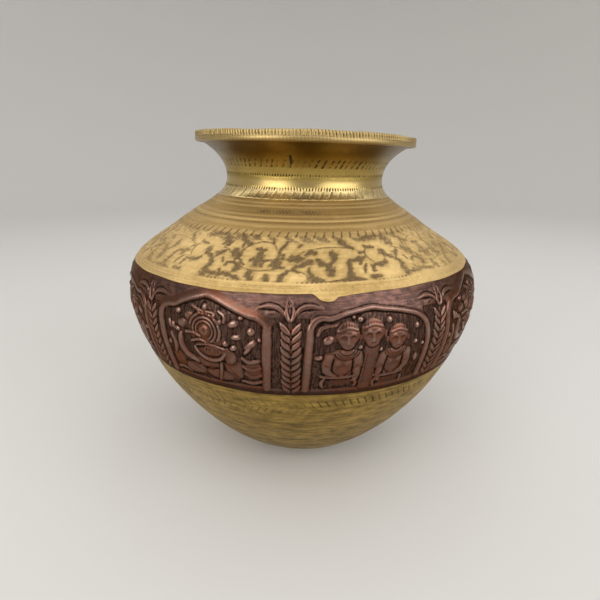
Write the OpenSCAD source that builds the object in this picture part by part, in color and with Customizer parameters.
// Brass lota with a copper belt: a round-bellied water pot raised from sheet brass.
// The belt lies in a rebate round the belly and hides the brazed seam between the lower
// bowl and the shoulder. The collar and the rim ring are brazed on above.
// Millimetres, +Z up, origin at the middle of the flat that the pot stands on.

/* [Overall] */
// Height to the rim's flat top
height = 121.7; // [112:0.1:134]
// Thickness of the raised brass
wall = 1.8; // [1.5:0.1:2.6]

/* [Bowl] */
// Diameter of the flat that the pot stands on
base_d = 34; // [26:1:42]
// Slope at which the bowl leaves that flat
bowl_slope = 28; // [22:1:34]
// Diameter at the widest point of the belly
belly_d = 130.2; // [122:0.2:138]
// Height of the widest point
belly_z = 66.8; // [62:0.2:71]
// Share of the bowl's curve that keeps the slope of its start
bowl_foot_ratio = 0.498; // [0.4:0.002:0.6]
// Share of the bowl's curve that is upright at the belly
bowl_side_ratio = 0.112; // [0.06:0.002:0.2]

/* [Shoulder] */
// Diameter at a place on the sloping shoulder
shoulder_d = 94.4; // [88:0.2:100]
// How far up from the belly to the waist that place is, as a share
shoulder_rise_ratio = 0.596; // [0.54:0.002:0.66]
// Slope of the shoulder there, above the horizontal
shoulder_slope = 35.5; // [31:0.5:40]
// Share of the curve below that place that is upright at the belly
belly_ratio = 0.519; // [0.4:0.001:0.6]
// Share of the curve below that place that keeps its slope
slope_low_ratio = 0.459; // [0.35:0.001:0.55]
// Share of the curve above that place that keeps its slope
slope_top_ratio = 0.547; // [0.42:0.001:0.6]

/* [Collar] */
// Outside diameter at the narrowest part of the neck
waist_d = 57.6; // [52:0.2:62]
// Height from the collar's foot to the narrowest part
neck_h = 5.9; // [5:0.1:7]
// Height from the narrowest part to the lip of the flare
flare_h = 11.4; // [9:0.1:14]
// Outside diameter at the lip of the flare
lip_d = 74; // [70:0.2:77]
// Slope of the flare at its lip
lip_slope = 28; // [20:1:36]
// Share of the curve below the waist that is upright
waist_low_ratio = 0.253; // [0.15:0.001:0.35]
// Share of the flare that is upright at the waist
waist_top_ratio = 0.377; // [0.25:0.001:0.5]
// Share of the flare that keeps the slope of its lip
lip_ratio = 0.349; // [0.25:0.001:0.45]

/* [Rim] */
// Outside diameter of the rim ring
rim_d = 79; // [78.5:0.1:84]
// Height of the rim ring
rim_h = 3.3; // [2.4:0.1:5]
// Cut at the ring's edges
rim_edge = 0.6; // [0.2:0.1:1]

/* [Copper belt] */
// How far the belt reaches below the widest point
belt_below = 17.8; // [15:0.1:20]
// How far the belt reaches above the widest point
belt_above = 13.2; // [11.5:0.1:14.5]
// Thickness of the copper sheet
belt_t = 0.6; // [0.4:0.05:0.8]
// Width of the soldered seam that closes the belt
belt_seam_w = 0.8; // [0.4:0.1:2]
// Angle of that seam from the front, to the right
belt_seam_angle = 196.5; // [150:0.5:210]
// Width of the brass tab that stops the belt turning
tab_w = 5.8; // [4:0.1:14]
// How far the tab reaches down into the belt
tab_h = 2; // [1:0.1:3.5]
// Angle of the tab from the front, to the right
tab_angle = 5.9; // [-30:0.1:30]

/* [Joints] */
// Thickness of the spelter or solder in every joint
film = 0.15; // [0.1:0.01:0.25]
// Overlap of bowl and shoulder under the belt
lap_w = 6; // [3:0.5:9]
// Overlap of shoulder and collar
neck_lap = 3.5; // [2:0.1:4.5]
// Width of the solder along each edge of the belt
solder_w = 5; // [4:0.5:7]

/* [Hidden] */

brass = "#b8943f";
copper = "#6b3a2c";
spelter = "#c9ad5a";
solder = "#8f8d86";

front = 270;
full_turn = 360;
round_steps = 96;
steps_per_span = 24;
least_steps = 2;

// The belt's rebate holds the copper and the solder behind it
bed = belt_t + film;
// The two leaves of each lap share what the spelter leaves of the wall
belly_leaf = (wall - bed - film) / 2;
neck_leaf = (wall - film) / 2;

belt_low_z = belly_z - belt_below;
belt_top_z = belly_z + belt_above;
seam_z = (belt_low_z + belt_top_z) / 2;
seam_sweep = belt_seam_w / (PI * belly_d) * full_turn;
seam_from = front + belt_seam_angle - full_turn - seam_sweep / 2;
seam_to = seam_from + seam_sweep;
tab_sweep = tab_w / (PI * belly_d) * full_turn;
tab_from = front + tab_angle - tab_sweep / 2;
tab_to = tab_from + tab_sweep;

function heading(angle) = [cos(angle), sin(angle)];

upright = heading(90);
up_bowl = heading(bowl_slope);
up_shoulder = heading(180 - shoulder_slope);
up_lip = heading(lip_slope);

// The ring and the spelter under it stand on the lip
lip_z = height - rim_h - film * up_lip[1];
waist_z = lip_z - flare_h;
neck_z = waist_z - neck_h;

foot = [base_d / 2, 0];
belly = [belly_d / 2, belly_z];
shoulder = [shoulder_d / 2, belly_z + shoulder_rise_ratio * (waist_z - belly_z)];
waist = [waist_d / 2, waist_z];
lip = [lip_d / 2, lip_z];

// A smooth span between two places, with its heading and the share of its reach that holds it, at each end
function span(low, low_heading, low_ratio, high, high_heading, high_ratio) =
    let (reach = norm(high - low))
    [low, low + reach * low_ratio * low_heading, high - reach * high_ratio * high_heading, high];

// The outside of the pot, from the foot to the lip
SPANS = [
    span(foot, up_bowl, bowl_foot_ratio, belly, upright, bowl_side_ratio),
    span(belly, upright, belly_ratio, shoulder, up_shoulder, slope_low_ratio),
    span(shoulder, up_shoulder, slope_top_ratio, waist, upright, waist_low_ratio),
    span(waist, upright, waist_top_ratio, lip, up_lip, lip_ratio)
];

function point_on(c, t) =
    pow(1 - t, 3) * c[0] + 3 * pow(1 - t, 2) * t * c[1]
    + 3 * (1 - t) * pow(t, 2) * c[2] + pow(t, 3) * c[3];

function speed_on(c, t) =
    3 * pow(1 - t, 2) * (c[1] - c[0]) + 6 * (1 - t) * t * (c[2] - c[1])
    + 3 * pow(t, 2) * (c[3] - c[2]);

function span_of(s) = min(floor(s), len(SPANS) - 1);

function outline(s) = point_on(SPANS[span_of(s)], s - span_of(s));

function along(s) = let (v = speed_on(SPANS[span_of(s)], s - span_of(s))) v / norm(v);

// The place at a depth below the outside, square to it
function inside(s, depth) = outline(s) + depth * [-along(s)[1], along(s)[0]];

// The place on the outline at a height, found by halving
function station(z, low = 0, high = len(SPANS), halvings = 40) =
    let (middle = (low + high) / 2)
    halvings == 0 ? middle
    : outline(middle)[1] < z ? station(z, middle, high, halvings - 1)
    : station(z, low, middle, halvings - 1);

// Heights where a piece or a joint begins or ends, in order from the foot
FOOT = 0;
BELT_LOW = 1;
LOW_SOLDER = 2;
LAP_LOW = 3;
LAP_TOP = 4;
TOP_SOLDER = 5;
TAB_LOW = 6;
BELT_TOP = 7;
NECK_LOW = 8;
NECK_TOP = 9;
LIP = 10;
CUT_HEIGHTS = [
    foot[1],
    belt_low_z, belt_low_z + solder_w,
    seam_z - lap_w / 2, seam_z + lap_w / 2,
    belt_top_z - solder_w, belt_top_z - tab_h, belt_top_z,
    neck_z, neck_z + neck_lap,
    lip_z
];
CUTS = [for (z = CUT_HEIGHTS) station(z)];

function steps(cut) = max(least_steps, ceil((CUTS[cut + 1] - CUTS[cut]) * steps_per_span));

function stations(low, high) = [
    for (cut = [low : high - 1])
        for (n = [0 : steps(cut) - 1])
            CUTS[cut] + (CUTS[cut + 1] - CUTS[cut]) * n / steps(cut),
    CUTS[high]
];

// A line of points at one depth, up from a low cut or down from a high one
function rising(low, high, depth) = [for (s = stations(low, high)) inside(s, depth)];

function falling(high, low, depth) =
    let (points = rising(low, high, depth)) [for (i = [len(points) - 1 : -1 : 0]) points[i]];

module turned(points, from = 0, sweep = full_turn)
    rotate([0, 0, from])
        rotate_extrude(angle = sweep, $fn = round_steps)
            polygon(points);

// A strip of the wall between two cuts and two depths
module layer(low, high, outer, inner, from = 0, sweep = full_turn)
    turned(concat(rising(low, high, outer), falling(high, low, inner)), from, sweep);

// Flat-bottomed bowl. Its edge is thinned for the belt and, above that, for the lap.
module base_bowl()
    color(brass)
        turned(concat(
            [foot - [foot[0], 0]],
            rising(FOOT, BELT_LOW, 0),
            rising(BELT_LOW, LAP_TOP, bed),
            falling(LAP_TOP, LAP_LOW, bed + belly_leaf),
            falling(LAP_LOW, FOOT, wall),
            [[0, inside(CUTS[FOOT], wall)[1]]]
        ));

// Shoulder with its skirt inside the bowl, its tongue inside the collar and the belt's tab
module shoulder_shell()
    color(brass)
        union() {
            turned(concat(
                rising(LAP_LOW, LAP_TOP, wall - belly_leaf),
                rising(LAP_TOP, BELT_TOP, bed),
                rising(BELT_TOP, NECK_LOW, 0),
                rising(NECK_LOW, NECK_TOP, wall - neck_leaf),
                falling(NECK_TOP, LAP_LOW, wall)
            ));
            layer(TAB_LOW, BELT_TOP, 0, belt_t, tab_from, tab_sweep);
        }

// Waisted collar whose foot laps over the shoulder's tongue
module neck_collar()
    color(brass)
        turned(concat(
            rising(NECK_LOW, LIP, 0),
            falling(LIP, NECK_TOP, wall),
            falling(NECK_TOP, NECK_LOW, neck_leaf)
        ));

// Ring brazed to the end of the flare, with a flat underside and a flat top
module rim_ring() {
    seat = film * along(CUTS[LIP]);
    under = lip + seat;
    mouth = inside(CUTS[LIP], wall) + seat;
    outer = rim_d / 2;
    color(brass)
        turned([
            under,
            [outer - rim_edge, under[1]], [outer, under[1] + rim_edge],
            [outer, height - rim_edge], [outer - rim_edge, height],
            [mouth[0] + rim_edge, height], [mouth[0], height - rim_edge],
            mouth
        ]);
}

// Copper strip bent round the belly, with a gap at its seam and a notch for the tab
module copper_belt()
    color(copper)
        union() {
            layer(BELT_LOW, TAB_LOW, 0, belt_t, seam_to, full_turn - seam_sweep);
            layer(TAB_LOW, BELT_TOP, 0, belt_t, seam_to, tab_from - seam_to);
            layer(TAB_LOW, BELT_TOP, 0, belt_t, tab_to, seam_from + full_turn - tab_to);
        }

module belly_braze()
    color(spelter) layer(LAP_LOW, LAP_TOP, bed + belly_leaf, wall - belly_leaf);

module neck_braze()
    color(spelter) layer(NECK_LOW, NECK_TOP, neck_leaf, wall - neck_leaf);

module rim_braze() {
    seat = film * along(CUTS[LIP]);
    mouth = inside(CUTS[LIP], wall);
    color(spelter) turned([lip, lip + seat, mouth + seat, mouth]);
}

module belt_upper_solder()
    color(solder) layer(TOP_SOLDER, BELT_TOP, belt_t, bed);

module belt_lower_solder()
    color(solder) layer(BELT_LOW, LOW_SOLDER, belt_t, bed);

module belt_seam_solder()
    color(solder) layer(BELT_LOW, BELT_TOP, 0, belt_t, seam_from, seam_sweep);

base_bowl();
shoulder_shell();
neck_collar();
rim_ring();
copper_belt();
belly_braze();
neck_braze();
rim_braze();
belt_upper_solder();
belt_lower_solder();
belt_seam_solder();
